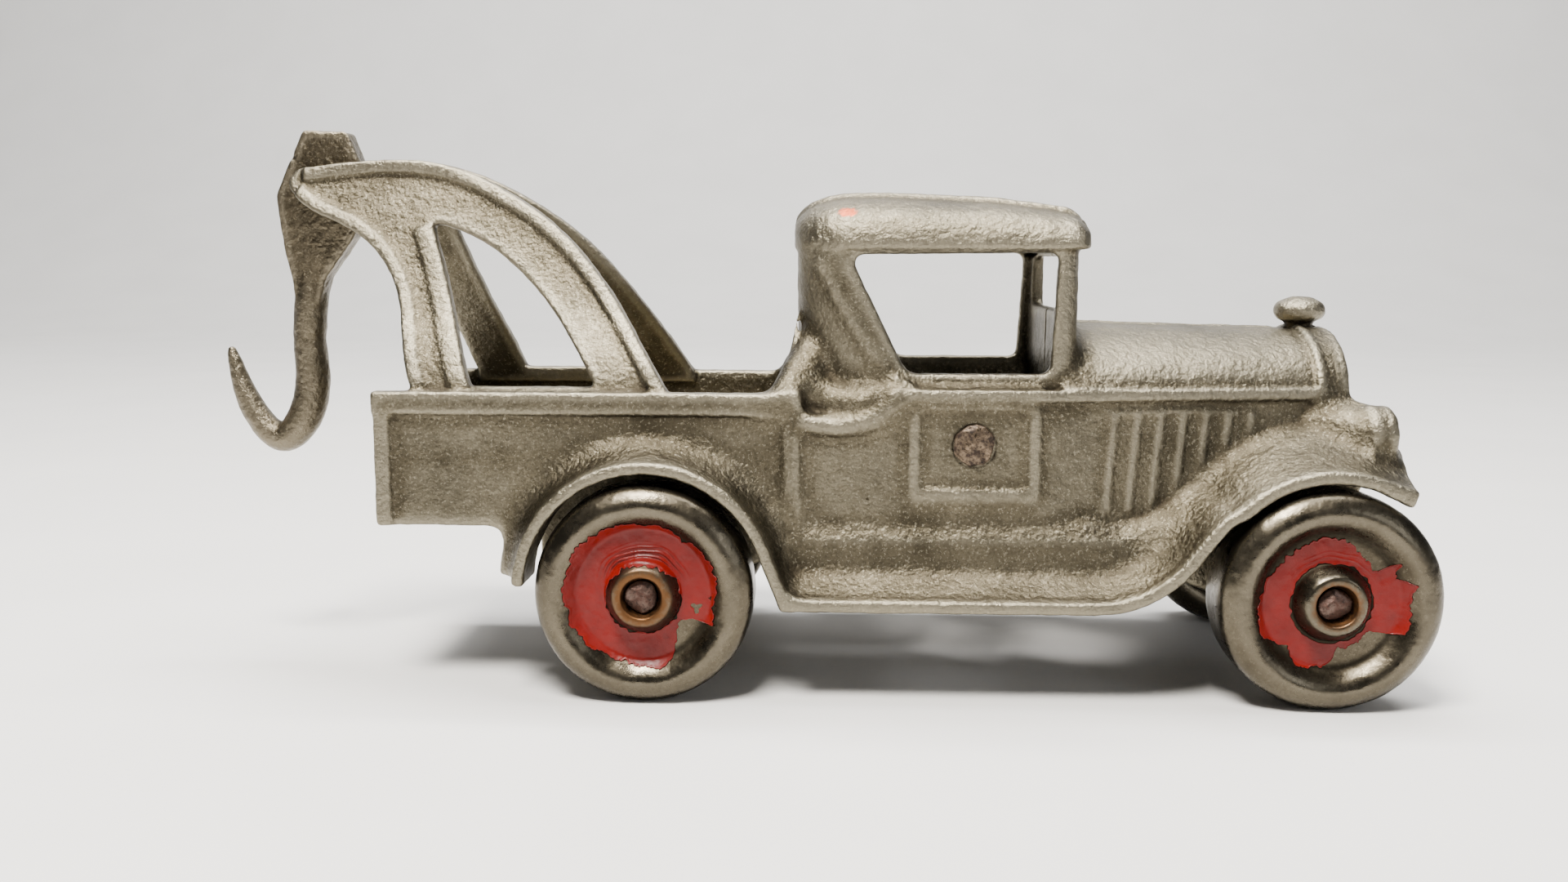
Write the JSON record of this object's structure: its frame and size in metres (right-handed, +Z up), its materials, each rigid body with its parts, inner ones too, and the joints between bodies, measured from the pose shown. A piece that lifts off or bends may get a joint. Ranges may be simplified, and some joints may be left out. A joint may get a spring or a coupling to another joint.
{
  "type": "toy tow truck",
  "caption": "Vintage-style cast toy tow truck: two riveted body halves with an open bed and arched boom, spinning wheels on rod axles and a swinging tow hook.",
  "frame": {"origin": "on the ground plane, under the centre of the whole truck's bounding box from the hook's tip to the front wheels' front, on the centre seam", "axes": "+X to the front of the truck, +Y to its left side, +Z up"},
  "size_m": [0.2093, 0.0684, 0.0948],
  "materials": {
    "plated_body": "nickel-plated sand-cast iron, satin, fine grain",
    "plated_hook": "worn nickel plate over sand-cast iron, darker",
    "plated_wheel": "worn nickel plate with remains of red paint on the discs",
    "axle_rod": "plain steel rod, rusty at the peened ends",
    "rivet": "hammered, rusty"
  },
  "bodies": {
    "truck_body": {"left_body_half": "plated_body", "right_body_half": "plated_body", "body_rivet": "rivet"},
    "hook": {"tow_hook": "plated_hook"},
    "front_axle_body": {"front_axle": "axle_rod"},
    "rear_axle_body": {"rear_axle": "axle_rod"},
    "front_left_wheel_body": {"front_left_wheel": "plated_wheel"},
    "front_right_wheel_body": {"front_right_wheel": "plated_wheel"},
    "rear_left_wheel_body": {"rear_left_wheel": "plated_wheel"},
    "rear_right_wheel_body": {"rear_right_wheel": "plated_wheel"}
  },
  "joints": [
    {"name": "hook_swing", "type": "hinge", "parent": "truck_body", "child": "hook", "pos_m": [-0.0833, 0, 0.0836], "axis": [0, 1, 0], "range_deg": [-15, 60]},
    {"name": "front_axle_spin", "type": "hinge", "parent": "truck_body", "child": "front_axle_body", "pos_m": [0.0867, 0, 0.018], "axis": [0, 1, 0], "continuous": true},
    {"name": "rear_axle_spin", "type": "hinge", "parent": "truck_body", "child": "rear_axle_body", "pos_m": [-0.0241, 0, 0.018], "axis": [0, 1, 0], "continuous": true},
    {"name": "front_left_wheel_spin", "type": "hinge", "parent": "front_axle_body", "child": "front_left_wheel_body", "pos_m": [0.0867, 0.0265, 0.018], "axis": [0, 1, 0], "continuous": true},
    {"name": "front_right_wheel_spin", "type": "hinge", "parent": "front_axle_body", "child": "front_right_wheel_body", "pos_m": [0.0867, -0.0265, 0.018], "axis": [0, 1, 0], "continuous": true},
    {"name": "rear_left_wheel_spin", "type": "hinge", "parent": "rear_axle_body", "child": "rear_left_wheel_body", "pos_m": [-0.0241, 0.0265, 0.018], "axis": [0, 1, 0], "continuous": true},
    {"name": "rear_right_wheel_spin", "type": "hinge", "parent": "rear_axle_body", "child": "rear_right_wheel_body", "pos_m": [-0.0241, -0.0265, 0.018], "axis": [0, 1, 0], "continuous": true}
  ]
}
